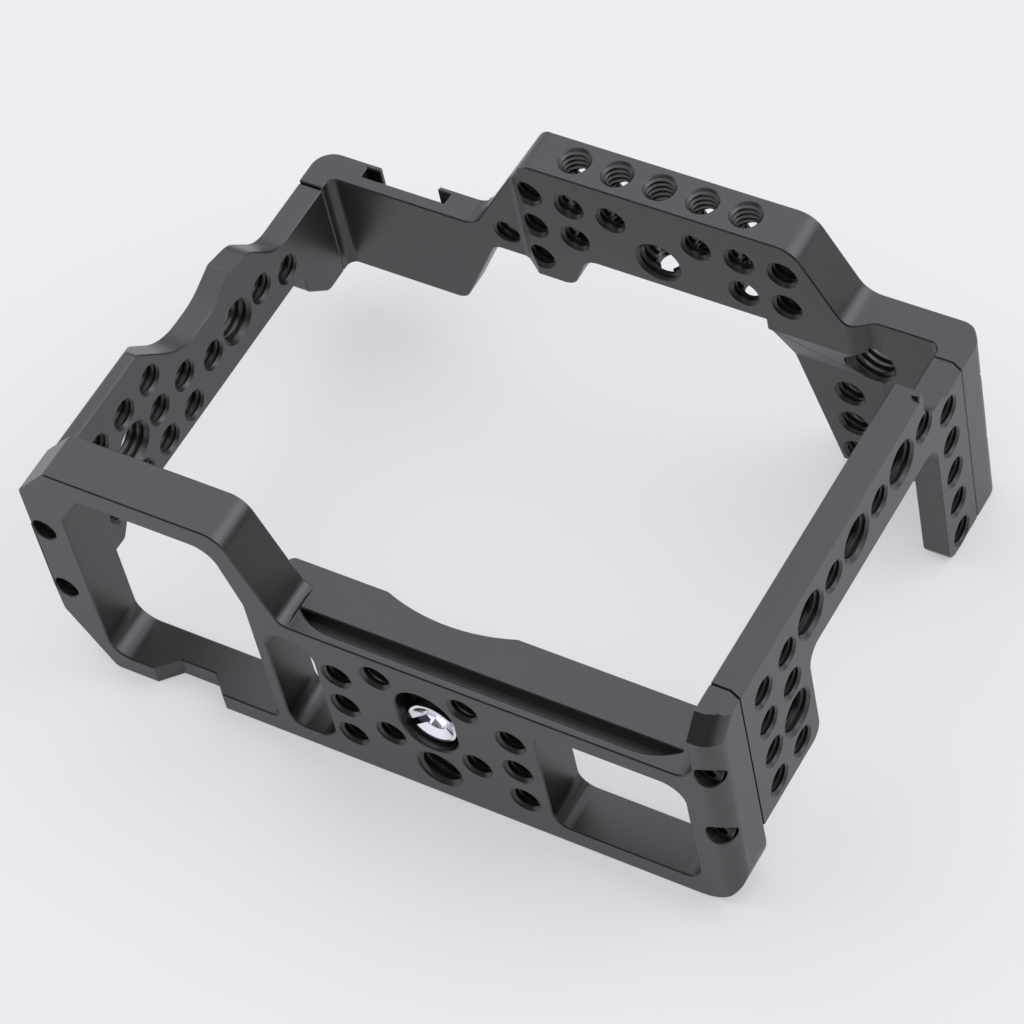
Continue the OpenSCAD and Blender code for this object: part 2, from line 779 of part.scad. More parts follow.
// The captive screw: coin slot and hex socket in its head, groove for the ring, thread at its tip
module camera_screw() {
    groove_from = ring_y - head_y - screw_play / 2;
    groove_to = ring_y - head_y + ring_t + screw_play / 2;
    tip = bottom_t - head_y + camera_thread_len;
    tip_bevel = camera_thread_r - ring_groove_r;
    color("#d0d0d2") translate([0, head_y, camera_screw_h]) face_y() difference() {
        union() {
            cylinder(r1 = camera_head_r - head_bevel, r2 = camera_head_r, h = head_bevel);
            translate([0, 0, head_bevel]) cylinder(r = camera_head_r, h = camera_head_h - head_bevel);
            cylinder(r = camera_thread_r, h = groove_from);
            cylinder(r = ring_groove_r, h = tip);
            translate([0, 0, groove_to]) cylinder(r = camera_thread_r, h = tip - groove_to - tip_bevel);
            translate([0, 0, tip - tip_bevel]) cylinder(r1 = camera_thread_r, r2 = ring_groove_r, h = tip_bevel);
        }
        translate([0, 0, -over]) cylinder(r = camera_socket_af / 2 / hex_share, h = camera_socket_depth + over, $fn = 6);
        rotate(coin_slot_angle) translate([-camera_head_r - over, -coin_slot_w / 2, -over])
            cube([2 * (camera_head_r + over), coin_slot_w, coin_slot_depth + over]);
    }
}

bottom_plate();
grip_side_plate();
port_side_plate();
top_plate();
bottom_corner_screw(grip_screw_x, corner_low_h);  // screw_bottom_grip_lower
bottom_corner_screw(grip_screw_x, corner_high_h);  // screw_bottom_grip_upper
bottom_corner_screw(port_screw_x, corner_low_h);  // screw_bottom_port_lower
bottom_corner_screw(port_screw_x, corner_high_h);  // screw_bottom_port_upper
top_corner_screw(grip_screw_x, shoe_face_y, top_corner_low_h);  // screw_top_grip_lower
top_corner_screw(grip_screw_x, shoe_face_y, top_corner_grip_high_h);  // screw_top_grip_upper
top_corner_screw(port_screw_x, top_outer_y, top_corner_low_h);  // screw_top_port_lower
top_corner_screw(port_screw_x, top_outer_y, top_corner_port_high_h);  // screw_top_port_upper
camera_screw_ring();
camera_screw();
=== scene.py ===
"""Camera cage: four dark anodised plates screwed together, with tapped holes and a captive camera screw."""

import json
import logging
import math
from dataclasses import dataclass, replace
from enum import Enum
from typing import Any, Iterable, Sequence

import bmesh
import bpy
from mathutils import Matrix, Vector


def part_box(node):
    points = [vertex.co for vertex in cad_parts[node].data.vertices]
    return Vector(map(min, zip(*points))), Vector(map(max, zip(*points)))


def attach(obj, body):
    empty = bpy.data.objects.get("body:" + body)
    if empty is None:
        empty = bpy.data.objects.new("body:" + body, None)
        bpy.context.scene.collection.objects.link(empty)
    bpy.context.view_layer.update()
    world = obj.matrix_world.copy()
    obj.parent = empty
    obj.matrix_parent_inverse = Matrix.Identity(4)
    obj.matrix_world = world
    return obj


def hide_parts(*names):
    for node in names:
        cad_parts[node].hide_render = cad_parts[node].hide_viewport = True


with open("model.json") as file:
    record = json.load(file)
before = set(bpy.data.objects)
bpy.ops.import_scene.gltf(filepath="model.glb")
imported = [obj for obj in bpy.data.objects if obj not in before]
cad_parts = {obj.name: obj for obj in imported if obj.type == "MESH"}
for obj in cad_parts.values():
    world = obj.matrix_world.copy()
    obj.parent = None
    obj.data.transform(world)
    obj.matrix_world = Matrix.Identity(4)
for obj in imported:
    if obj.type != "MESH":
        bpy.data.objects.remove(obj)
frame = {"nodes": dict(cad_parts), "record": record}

logging.basicConfig(level=logging.INFO, format="%(name)s: %(message)s")
LOG = logging.getLogger("camera_cage")
MM = 0.001
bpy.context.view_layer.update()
PLATES = ("bottom_plate", "grip_side_plate", "port_side_plate", "top_plate")
FLUSH_SCREWS = ("screw_top_port_lower", "screw_top_port_upper")
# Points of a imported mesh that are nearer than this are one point
MERGE_DISTANCE = 0.0002 * MM
# Number of the material slot that newly cut faces go to
CUT_SLOT = 1
# Angle above which an edge is crisp
CREASE = math.radians(24.0)
# Angle by which smooth shading may lean away from a face
STRAY_BEND = math.radians(10.0)
# Pull of a large face on the shading of the small ones beside it, where 50 is none
LARGE_FACE_PULL = 90


class Axis(Enum):
    """Axes of the cage that a tapped hole can run along."""

    X = Vector((1.0, 0.0, 0.0))
    Y = Vector((0.0, 1.0, 0.0))
    Z = Vector((0.0, 0.0, 1.0))


class Thread(Enum):
    """Accessory threads, each with its drilled radius, its outer radius and its pitch in millimetres."""

    QUARTER = (2.55, 3.12, 1.27)
    THREE_EIGHTHS = (3.97, 4.68, 1.5875)


class Socket:
    """A node socket that can stand in a Python expression."""

    def __init__(self, shader: "ShaderBuilder", link: Any) -> None:
        """Keep a socket and the shader that it belongs to.

        Args:
            shader: The shader whose tree holds the socket.
            link: The output socket.
        """
        self.shader = shader
        self.link = link

    def _math(self, operation: str, *values: Any) -> "Socket":
        """Add one Math node.

        Args:
            operation: The Math node's operation.
            values: Its inputs, as sockets or numbers.

        Returns:
            The node's result.
        """
        inputs = {i: value for i, value in enumerate(values)}
        return self.shader.add("ShaderNodeMath", {"operation": operation}, inputs)

    def __add__(self, other: Any) -> "Socket":
        """Sum of this and another value."""
        return self._math("ADD", self, other)

    def __radd__(self, other: Any) -> "Socket":
        """Sum of another value and this."""
        return self._math("ADD", other, self)

    def __sub__(self, other: Any) -> "Socket":
        """This less another value."""
        return self._math("SUBTRACT", self, other)

    def __rsub__(self, other: Any) -> "Socket":
        """Another value less this."""
        return self._math("SUBTRACT", other, self)

    def __mul__(self, other: Any) -> "Socket":
        """Product of this and another value."""
        return self._math("MULTIPLY", self, other)

    def __rmul__(self, other: Any) -> "Socket":
        """Product of another value and this."""
        return self._math("MULTIPLY", other, self)

    def clamp(self) -> "Socket":
        """This value held between nought and one."""
        return self._math("MAXIMUM", self._math("MINIMUM", self, 1.0), 0.0)

    def smooth(self, low: float, high: float) -> "Socket":
        """A smooth step of this value.

        Args:
            low: Value at which the step starts.
            high: Value at which the step ends.

        Returns:
            Nought below low, one above high, and a smooth rise between them.
        """
        settings = {"interpolation_type": "SMOOTHSTEP"}
        return self.shader.add("ShaderNodeMapRange", settings, {0: self, 1: low, 2: high})


class ShaderBuilder:
    """Builds one node tree from Python expressions."""

    def __init__(self, owner: Any) -> None:
        """Empty the owner's node tree.

        Args:
            owner: A material, world or light data block.
        """
        owner.use_nodes = True
        self.tree = owner.node_tree
        self.tree.nodes.clear()

    def add(self, kind: str, settings: dict[str, Any], inputs: dict[Any, Any], out: Any = 0) -> Socket:
        """Add one node.

        Args:
            kind: The node's type.
            settings: Properties of the node, which are set first.
            inputs: Values or sockets, by the input's name or number.
            out: Name or number of the output to return.

        Returns:
            The chosen output.
        """
        node = self.tree.nodes.new(kind)
        for name, value in settings.items():
            setattr(node, name, value)
        for key, value in inputs.items():
            if isinstance(value, Socket):
                self.tree.links.new(value.link, node.inputs[key])
            else:
                node.inputs[key].default_value = value
        return Socket(self, node.outputs[out] if len(node.outputs) else None)

    def split(self, vector: Socket) -> list[Socket]:
        """Parts of a vector.

        Args:
            vector: The vector.

        Returns:
            Its X, Y and Z.
        """
        first = self.add("ShaderNodeSeparateXYZ", {}, {0: vector})
        return [Socket(self, output) for output in first.link.node.outputs]

    def place(self) -> Socket:
        """Position on the object, in its own frame."""
        return self.add("ShaderNodeTexCoord", {}, {}, "Object")

    def noise(self, place: Socket, scale: float, detail: float = 2.0, rough: float = 0.5) -> Socket:
        """Noise over the object.

        Args:
            place: Position that drives the noise.
            scale: Waves to the metre.
            detail: Octaves of finer noise.
            rough: Strength of the finer noise.

        Returns:
            The noise value.
        """
        inputs = {"Vector": place, "Scale": scale, "Detail": detail, "Roughness": rough}
        return self.add("ShaderNodeTexNoise", {}, inputs, "Fac")

    def mix(self, factor: Any, first: Any, second: Any) -> Socket:
        """Blend of two colours.

        Args:
            factor: Share of the second colour.
            first: First colour.
            second: Second colour.

        Returns:
            The blended colour.
        """
        return self.add("ShaderNodeMix", {"data_type": "RGBA"}, {0: factor, 6: first, 7: second}, 2)

    def end(self, kind: str, surface: Socket) -> None:
        """Link a shader to an output node.

        Args:
            kind: Type of the output node.
            surface: The shader.
        """
        self.add(kind, {}, {"Surface": surface})


def grey(level: float, tint: float = 0.0) -> tuple[float, float, float, float]:
    """A neutral colour with a little blue.

    Args:
        level: Linear brightness.
        tint: Share of blue that is added.

    Returns:
        The colour, opaque.
    """
    green_share, blue_share = 1.0 - 0.3 * tint, 1.0 + tint
    return (level, level * green_share, level * blue_share, 1.0)


def aligned(first: Vector, second: Vector) -> bool:
    """Whether two axes of the cage are the same, whichever way they point."""
    return abs(first.dot(second)) > 0.5


def aim(axis: Vector) -> Matrix:
    """Turn that brings the Z axis onto another axis."""
    return Axis.Z.value.rotation_difference(axis).to_matrix().to_4x4()


@dataclass(frozen=True)
class Seam:
    """The line where two plates meet, darkened by a painted shadow in the crack: its place along Y, the X
    where it starts and the way it runs.
    """

    height: float
    edge: float
    side: float
    half_width: float = 0.10 * MM
    solid_share: float = 0.5
    fade: float = 0.1 * MM

    def mask(self, shader: ShaderBuilder, x: Socket, y: Socket) -> Socket:
        """Strength of the painted shadow along the line.

        Args:
            shader: The shader that it is drawn in.
            x: Position along X.
            y: Position along Y.

        Returns:
            One on the line and nought beside it.
        """
        away = shader.add("ShaderNodeMath", {"operation": "ABSOLUTE"}, {0: y - self.height})
        line = 1.0 - away.smooth(self.half_width * self.solid_share, self.half_width)
        beyond = (x - self.edge) * self.side
        return line * beyond.smooth(-self.fade, 0.0)


def plate_seams(inset: float = 0.12 * MM) -> list[Seam]:
    """Find the lines where the side plates meet the top and bottom plates, each darkened by a painted
    shadow in its crack.

    Args:
        inset: Distance of each line from the end of its side plate.

    Returns:
        The four seams.
    """
    seams = []
    for node, side in (("grip_side_plate", -1.0), ("port_side_plate", 1.0)):
        low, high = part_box(node)
        edge = high.x if side < 0.0 else low.x
        seams += [Seam(low.y + inset, edge, side), Seam(high.y - inset, edge, side)]
    return seams


@dataclass(frozen=True)
class Finish:
    """One surface: its shade, gloss and grain."""

    name: str
    slot: str
    shade: float
    metallic: float
    ior: float
    rough_low: float
    rough_high: float
    grain_waves: float
    grain_depth: float
    mottle: float
    tint: float = 0.04
    cloud_waves: float = 38.0
    cloud_detail: float = 3.0
    cloud_band: tuple[float, float] = (0.3, 0.7)
    grain_rough: float = 0.6
    grain_strength: float = 0.35
    # Near-black of the painted shadow in the crack between plates
    painted_crack_shadow: float = 0.002

    def build(self, seams: Sequence[Seam] = ()) -> bpy.types.Material:
        """Make the material.

        Args:
            seams: Lines that carry a painted shadow, a near-black stripe that stands in for the shade in
                the crack between plates.

        Returns:
            The material, driven by Object coordinates.
        """
        material = bpy.data.materials.new(self.name)
        shader = ShaderBuilder(material)
        place = shader.place()
        cloud = shader.noise(place, self.cloud_waves, self.cloud_detail)
        blast = shader.noise(place, self.grain_waves, rough=self.grain_rough)
        darker = grey(self.shade * (1.0 - self.mottle), self.tint)
        lighter = grey(self.shade * (1.0 + self.mottle), self.tint)
        colour = shader.mix(cloud.smooth(*self.cloud_band), darker, lighter)
        rough = self.rough_low + (self.rough_high - self.rough_low) * (cloud * 0.5 + blast * 0.5)
        bump_inputs = {"Strength": self.grain_strength, "Distance": self.grain_depth, "Height": blast}
        bump = shader.add("ShaderNodeBump", {}, bump_inputs)
        inputs = {
            "Base Color": colour, "Metallic": self.metallic, "IOR": self.ior,
            "Roughness": rough, "Normal": bump,
        }
        surface = shader.add("ShaderNodeBsdfPrincipled", {}, inputs)
        # Painted shadow: a near-black diffuse is mixed in along each seam in place of the shade in the
        # crack between plates
        if seams:
            x, y, _ = shader.split(place)
            painted_shadow_share = sum((seam.mask(shader, x, y) for seam in seams), start=0.0).clamp()
            painted_shadow_bsdf = shader.add("ShaderNodeBsdfDiffuse", {}, {"Color": grey(self.painted_crack_shadow)})
            surface = shader.add("ShaderNodeMixShader", {}, {0: painted_shadow_share, 1: surface, 2: painted_shadow_bsdf})
        shader.end("ShaderNodeOutputMaterial", surface)
        return material


ANODISED = Finish(
    name="anodised_dark_grey", slot="dark_plate", shade=0.007, metallic=0.0, ior=1.7,
    rough_low=0.30, rough_high=0.40, grain_waves=5200.0, grain_depth=0.02 * MM, mottle=0.25,
)
BLACK_OXIDE = Finish(
    name="black_oxide_steel", slot="black_screw", shade=0.025, metallic=1.0, ior=1.5,
    rough_low=0.28, rough_high=0.45, grain_waves=4000.0, grain_depth=0.02 * MM, mottle=0.15,
)
NICKEL = Finish(
    name="polished_nickel", slot="bright_screw", shade=0.95, metallic=1.0, ior=1.5,
    rough_low=0.08, rough_high=0.16, grain_waves=3000.0, grain_depth=0.01 * MM, mottle=0.03,
)


@dataclass(frozen=True)
class TappedHole:
    """One threaded hole, seen from the face where an accessory screw enters."""

    mouth: Vector
    axis: Vector
    thread: Thread
    cut_share: float = 1.0

    def key(self) -> tuple[float, ...]:
        """Rounded place of the hole, which two overlapping patterns share."""
        return tuple(round(value / MM, 2) for value in self.mouth)


class HoleChart:
    """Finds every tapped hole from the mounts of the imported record."""

    # Drilled holes below this radius are for a quarter inch thread
    QUARTER_BELOW_MM = 3.2
    # Distance that a hole's mouth may lie outside its plate's box
    NEAR = 0.2 * MM

    def __init__(self, record: dict[str, Any]) -> None:
        """Read the mounts.

        Args:
            record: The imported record.
        """
        found: dict[tuple[float, ...], TappedHole] = {}
        for mount in record["mounts"]:
            for hole in self._holes(mount):
                found.setdefault(hole.key(), hole)
        self.holes = list(found.values())

    def _holes(self, mount: dict[str, Any]) -> Iterable[TappedHole]:
        """List the holes of one mount.

        Args:
            mount: One entry of the record's mounts.

        Returns:
            The holes, or nothing for a mount of another kind.
        """
        dims = mount.get("dims") or {}
        radius = dims.get("hole_r_mm") or dims.get("r_mm")
        if mount["kind"] not in ("bolt_pattern", "other") or not radius:
            return []
        thread = Thread.QUARTER if radius < self.QUARTER_BELOW_MM else Thread.THREE_EIGHTHS
        axis, centre = Vector(mount["axis"]), Vector(mount["pos_m"])
        across = [way.value for way in Axis if not aligned(way.value, axis)]
        first = [0.0] if "spacing_x_mm" not in dims else [-0.5, 0.5]
        second = [0.0] if "spacing_y_mm" not in dims else [-0.5, 0.5]
        step_x = across[0] * dims.get("spacing_x_mm", 0.0) * MM
        step_y = across[1] * dims.get("spacing_y_mm", 0.0) * MM
        return [TappedHole(centre + step_x * i + step_y * j, axis, thread) for i in first for j in second]

    def of_box(self, low: Vector, high: Vector) -> list[TappedHole]:
        """Pick the holes whose mouths lie on a plate.

        Args:
            low: Lowest corner of the plate.
            high: Highest corner of the plate.

        Returns:
            The holes on it.
        """
        margin = Vector((self.NEAR, self.NEAR, self.NEAR))
        least, most = low - margin, high + margin
        return [h for h in self.holes if all(least[i] < h.mouth[i] < most[i] for i in range(3))]


def evaluated_mesh(piece: bpy.types.Object) -> bpy.types.Mesh:
    """Mesh of an object with its modifiers applied.

    Args:
        piece: The object.

    Returns:
        A new mesh.
    """
    graph = bpy.context.evaluated_depsgraph_get()
    return bpy.data.meshes.new_from_object(piece.evaluated_get(graph))


def link_piece(name: str, data: bpy.types.ID) -> bpy.types.Object:
    """Put a mesh or the camera in the scene.

    Args:
        name: Name of the new object.
        data: Its mesh, in the cage's own frame, or its camera data.

    Returns:
        The new object.
    """
    piece = bpy.data.objects.new(name, data)
    bpy.context.scene.collection.objects.link(piece)
    return piece


def merged(node: str) -> bmesh.types.BMesh:
    """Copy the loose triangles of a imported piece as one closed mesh.

    Args:
        node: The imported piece.

    Returns:
        The closed mesh.
    """
    work = bmesh.new()
    work.from_mesh(frame["nodes"][node].data)
    bmesh.ops.remove_doubles(work, verts=work.verts[:], dist=MERGE_DISTANCE)
    return work


def blank(name: str, work: bmesh.types.BMesh, finish: bpy.types.Material) -> bpy.types.Object:
    """Make a piece that is ready to be carved, with a second slot for the faces that a cut leaves.

    Args:
        name: Name of the piece.
        work: Its mesh, which is freed.
        finish: Its material.

    Returns:
        The piece.
    """
    mesh = bpy.data.meshes.new(name)
    work.to_mesh(mesh)
    work.free()
    for _ in range(CUT_SLOT + 1):
        mesh.materials.append(finish)
    return link_piece(name, mesh)


def carve(piece: bpy.types.Object, tool: bmesh.types.BMesh) -> None:
    """Cut a closed tool out of a piece; the new faces go to the second material slot.

    Args:
        piece: The piece.
        tool: The tool's mesh, which is freed.
    """
    for face in tool.faces:
        face.material_index = CUT_SLOT
    mesh = bpy.data.meshes.new("tool")
    tool.to_mesh(mesh)
    tool.free()
    cutter = link_piece("tool", mesh)
    cut = piece.modifiers.new("carve", "BOOLEAN")
    cut.operation, cut.solver, cut.object = "DIFFERENCE", "MANIFOLD", cutter
    finished = evaluated_mesh(piece)
    piece.modifiers.clear()
    piece.data = finished
    bpy.data.objects.remove(cutter)


def flatten_bent(piece: bpy.types.Object) -> None:
    """Shade a face flat where its smooth shading would bend away from its plane.

    Args:
        piece: The piece, with the modifier that shades it.
    """
    trial = evaluated_mesh(piece)
    normals = trial.corner_normals
    bent = 0
    for polygon, shown in zip(piece.data.polygons, trial.polygons):
        if max(shown.normal.angle(normals[i].vector, 0.0) for i in shown.loop_indices) > STRAY_BEND:
            polygon.use_smooth = False
            bent += 1
    LOG.info("%s: %d bent faces made flat", piece.name, bent)
    bpy.data.meshes.remove(trial)


def dress(piece: bpy.types.Object, finish: bpy.types.Material) -> None:
    """Shade curves smooth, keep edges crisp and newly cut faces flat, and give the piece its finish.

    Args:
        piece: The piece.
        finish: Its material.
    """
    piece.data.shade_smooth()
    cut = [polygon for polygon in piece.data.polygons if polygon.material_index == CUT_SLOT]
    LOG.info("%s: %d cut faces", piece.name, len(cut))
    for polygon in cut:
        polygon.use_smooth = False
        polygon.material_index = 0
    piece.data.set_sharp_from_angle(angle=CREASE)
    weigh = piece.modifiers.new("flat_faces", "WEIGHTED_NORMAL")
    weigh.mode, weigh.weight, weigh.keep_sharp = "FACE_AREA", LARGE_FACE_PULL, True
    flatten_bent(piece)
    shaded = evaluated_mesh(piece)
    piece.modifiers.clear()
    piece.data = shaded
    piece.data.materials.clear()
    piece.data.materials.append(finish)


@dataclass(frozen=True)
class Rounding:
    """A square or slanted edge that is milled round."""

    corner: Vector
    toward: tuple[Vector, Vector]
    radius: float
    along: Vector
    span: tuple[float, float]
    steps: int = 20

    def build(self) -> bmesh.types.BMesh:
        """Make the cutter.

        Returns:
            A prism between the edge and the arc that is left.
        """
        first, second = (way.normalized() for way in self.toward)
        half = first.angle(second) * 0.5
        middle = (first + second).normalized()
        centre = self.corner + middle * (self.radius / math.sin(half))
        start = self.corner + first * (self.radius / math.tan(half)) - centre
        end = self.corner + second * (self.radius / math.tan(half)) - centre
        shares = [i / self.steps for i in range(self.steps + 1)]
        arc = [centre + start.lerp(end, share).normalized() * self.radius for share in shares]
        outline = [self.corner - middle * self.radius, *arc]
        work = bmesh.new()
        near, far = (
            [work.verts.new(point + self.along * reach) for point in outline] for reach in self.span
        )
        work.faces.new(near)
        work.faces.new(far)
        for i, corner in enumerate(near):
            work.faces.new((corner, near[i - 1], far[i - 1], far[i]))
        bmesh.ops.recalc_face_normals(work, faces=work.faces[:])
        return work


@dataclass(frozen=True)
class SpotFace:
    """A round pocket milled in front of a hole's mouth, where a ramp crosses it."""

    mouth: Vector
    axis: Vector
    radius: float
    reach: float
    segments: int = 72

    def build(self) -> bmesh.types.BMesh:
        """Make the cutter.

        Returns:
            A cylinder from the mouth outward.
        """
        work = bmesh.new()
        place = Matrix.Translation(self.mouth + self.axis * (self.reach * 0.5)) @ aim(self.axis)
        bmesh.ops.create_cone(
            work, cap_ends=True, cap_tris=False, segments=self.segments, radius1=self.radius,
            radius2=self.radius, depth=self.reach, matrix=place,
        )
        bmesh.ops.recalc_face_normals(work, faces=work.faces[:])
        return work


@dataclass(frozen=True)
class CornerScrew:
    """A black corner screw whose head is flush with the cage's rounded corner."""

    node: str
    finish: bpy.types.Material
    rounding: Rounding

    def build(self) -> bpy.types.Object:
        """Make the piece that stands for the screw.

        Returns:
            The finished piece.
        """
        piece = blank(self.node + "_flush", merged(self.node), self.finish)
        carve(piece, self.rounding.build())
        dress(piece, self.finish)
        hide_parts(self.node)
        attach(piece, "cage")
        return piece


@dataclass(frozen=True)
class ThreadTap:
    """A helical cutter that leaves a thread in a drilled hole."""

    hole: TappedHole
    depth: float
    inside: bool = True
    steps: int = 32
    root_share: float = 0.07
    flank_share: float = 0.41
    bore_share: float = 0.97
    clear_share: float = 1.06
    spare_turns: int = 3
    lead_turns: float = 1.8

    def build(self) -> bpy.types.Mesh:
        """Make the cutter, placed in its hole.

        Returns:
            A closed coil that starts outside the mouth and ends beyond the hole.
        """
        drill, outer, pitch = (value * MM for value in self.hole.thread.value)
        outer = drill + (outer - drill) * self.hole.cut_share
        turns = math.ceil(self.depth / pitch) + self.spare_turns
        crest, root = (drill * self.bore_share, outer) if self.inside else (outer * self.clear_share, drill)
        profile = [
            (crest, -self.flank_share),
            (root, -self.root_share),
            (root, self.root_share),
            (crest, self.flank_share),
        ]
        work = bmesh.new()
        start = -(turns - self.lead_turns) * pitch
        corners = [work.verts.new((r, 0.0, start + share * pitch)) for r, share in profile]
        face = work.faces.new(corners)
        bmesh.ops.spin(
            work, geom=[face, *face.edges, *face.verts], cent=(0.0, 0.0, 0.0), axis=(0.0, 0.0, 1.0),
            dvec=(0.0, 0.0, pitch / self.steps), angle=math.tau * turns, steps=turns * self.steps,
            use_merge=False, use_normal_flip=False, use_duplicate=False,
        )
        bmesh.ops.recalc_face_normals(work, faces=work.faces[:])
        place = Matrix.Translation(self.hole.mouth) @ aim(self.hole.axis)
        bmesh.ops.transform(work, matrix=place, verts=work.verts[:])
        open_edges = sum(not edge.is_manifold for edge in work.edges)
        if open_edges:
            LOG.warning("coil at %s has %d open edges", self.hole.key(), open_edges)
        mesh = bpy.data.meshes.new("coil")
        work.to_mesh(mesh)
        work.free()
        return mesh


@dataclass
class Plate:
    """One milled plate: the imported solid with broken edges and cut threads."""

    node: str
    finish: bpy.types.Material
    holes: Sequence[TappedHole]
    tools: Sequence[Rounding | SpotFace] = ()
    edge_break: float = 0.25 * MM
    deepest_thread: float = 24.0 * MM
    sharp: float = math.radians(52.0)
    same_plane: float = math.radians(0.5)

    def build(self) -> bpy.types.Object:
        """Make the piece that stands for the plate.

        Returns:
            The finished piece.
        """
        work = merged(self.node)
        bmesh.ops.dissolve_limit(
            work, angle_limit=self.same_plane, use_dissolve_boundaries=False,
            verts=work.verts[:], edges=work.edges[:], delimit={"NORMAL"},
        )
        self._break_edges(work)
        open_edges = sum(not edge.is_manifold for edge in work.edges)
        LOG.info("%s: %d faces, %d open edges", self.node, len(work.faces), open_edges)
        piece = blank(self.node + "_milled", work, self.finish)
        for tool in self.tools:
            carve(piece, tool.build())
        self._cut_threads(piece)
        dress(piece, self.finish)
        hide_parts(self.node)
        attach(piece, "cage")
        return piece

    def _break_edges(self, work: bmesh.types.BMesh) -> None:
        """Bevel the square edges by a hair.

        Args:
            work: The plate's mesh.
        """
        edges = [e for e in work.edges if len(e.link_faces) == 2 and e.is_convex
                 and e.calc_face_angle(0.0) > self.sharp]
        bmesh.ops.bevel(
            work, geom=edges, offset=self.edge_break, offset_type="OFFSET", segments=1,
            profile=0.5, affect="EDGES", clamp_overlap=False, material=-1,
        )

    def _cut_threads(self, piece: bpy.types.Object) -> None:
        """Cut a thread in every tapped hole, one direction of hole at a time.

        Args:
            piece: The plate's piece.
        """
        low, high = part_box(self.node)
        for way in Axis:
            along = [hole for hole in self.holes if aligned(hole.axis, way.value)]
            if not along:
                continue
            depth = min((high - low).dot(way.value), self.deepest_thread)
            coils = bmesh.new()
            for hole in along:
                coil = ThreadTap(hole, depth).build()
                coils.from_mesh(coil)
                bpy.data.meshes.remove(coil)
            carve(piece, coils)


@dataclass(frozen=True)
class TopMilling:
    """What is milled on the top plate after its main shape, with its sizes."""

    crown_corner: tuple[float, float, float] = (-26.9 * MM, 0.0, 61.7 * MM)
    crown_slope: tuple[float, float, float] = (-16.0, 0.0, -26.4)
    crown_radius: float = 4.0 * MM
    crown_span: tuple[float, float] = (90.0 * MM, 106.0 * MM)
    recess_mount: str = "corner_three_eighths"
    recess_floor: float = 96.9 * MM
    pocket_radius: float = 4.9 * MM
    pocket_reach: float = 6.0 * MM
    end_radius: float = 4.1 * MM
    end_span: tuple[float, float] = (5.0 * MM, 45.0 * MM)

    def crown(self) -> Rounding:
        """Rounding of the corner between the crown and its slope."""
        toward = (Axis.X.value, Vector(self.crown_slope))
        return Rounding(Vector(self.crown_corner), toward, self.crown_radius, Axis.Y.value, self.crown_span)

    def pocket(self) -> SpotFace:
        """Pocket in front of the three eighths hole of the ramped recess."""
        place = next(m["pos_m"] for m in frame["record"]["mounts"] if m["name"] == self.recess_mount)
        mouth = Vector((place[0], self.recess_floor, place[2]))
        return SpotFace(mouth, -Axis.Y.value, self.pocket_radius, self.pocket_reach)

    def end(self) -> Rounding:
        """Rounding of the plate's outer end on the connector side, which trims the screws there."""
        _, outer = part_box("top_plate")
        corner = Vector((outer.x, outer.y, 0.0))
        toward = (-Axis.X.value, -Axis.Y.value)
        return Rounding(corner, toward, self.end_radius, Axis.Z.value, self.end_span)


@dataclass(frozen=True)
class CameraScrew:
    """The bright captive screw, with a dished head and a cut thread."""

    finish: bpy.types.Material
    node: str = "camera_screw"
    head_radius: float = 4.9 * MM
    dish_radius: float = 4.3 * MM
    dish_floor_radius: float = 2.5 * MM
    dish_depth: float = 0.9 * MM
    head_height: float = 3.4 * MM
    thread_start: float = 10.0 * MM
    trim_reach: float = 6.5 * MM
    trim_before: float = 0.2 * MM
    trim_beyond: float = 0.02 * MM
    dish_before: float = 0.1 * MM
    turned_steps: int = 96

    def build(self) -> bpy.types.Object:
        """Make the piece that stands for the screw.

        Returns:
            The finished piece.
        """
        low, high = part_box(self.node)
        middle = (low + high) * 0.5
        piece = blank(self.node + "_turned", merged(self.node), self.finish)
        front = Vector((middle.x, low.y, middle.z))
        carve(piece, self._turned(front, self._trim()))
        carve(piece, self._turned(front, self._dish()))
        tip = TappedHole(Vector((middle.x, high.y, middle.z)), Axis.Y.value, Thread.QUARTER)
        coil = ThreadTap(tip, high.y - self.thread_start, inside=False).build()
        thread = bmesh.new()
        thread.from_mesh(coil)
        bpy.data.meshes.remove(coil)
        carve(piece, thread)
        dress(piece, self.finish)
        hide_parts(self.node)
        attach(piece, "screw")
        return piece

    def _trim(self) -> list[tuple[float, float]]:
        """Section of the ring that is turned off the head."""
        near, far = -self.trim_before, self.head_height + self.trim_beyond
        return [(self.head_radius, near), (self.trim_reach, near),
                (self.trim_reach, far), (self.head_radius, far)]

    def _dish(self) -> list[tuple[float, float]]:
        """Section of the shallow dish in the head's face."""
        slope = (self.dish_radius - self.dish_floor_radius) / self.dish_depth
        wide = self.dish_radius + slope * self.dish_before
        return [(0.0, -self.dish_before), (wide, -self.dish_before),
                (self.dish_floor_radius, self.dish_depth), (0.0, self.dish_depth)]

    def _turned(self, front: Vector, section: Sequence[tuple[float, float]]) -> bmesh.types.BMesh:
        """A solid turned around the screw's axis.

        Args:
            front: Centre of the head's face.
            section: Radius and depth of each corner of the section.

        Returns:
            The closed solid.
        """
        work = bmesh.new()
        corners = [work.verts.new(front + Vector((radius, depth, 0.0))) for radius, depth in section]
        edges = [work.edges.new((a, b)) for a, b in zip(corners, corners[1:] + corners[:1])
                 if not (a.co.x == front.x and b.co.x == front.x)]
        bmesh.ops.spin(
            work, geom=[*corners, *edges], cent=front, axis=(0.0, 1.0, 0.0), dvec=(0.0, 0.0, 0.0),
            angle=math.tau, steps=self.turned_steps, use_merge=True,
            use_normal_flip=False, use_duplicate=False,
        )
        bmesh.ops.remove_doubles(work, verts=work.verts[:], dist=MERGE_DISTANCE)
        bmesh.ops.recalc_face_normals(work, faces=work.faces[:])
        return work


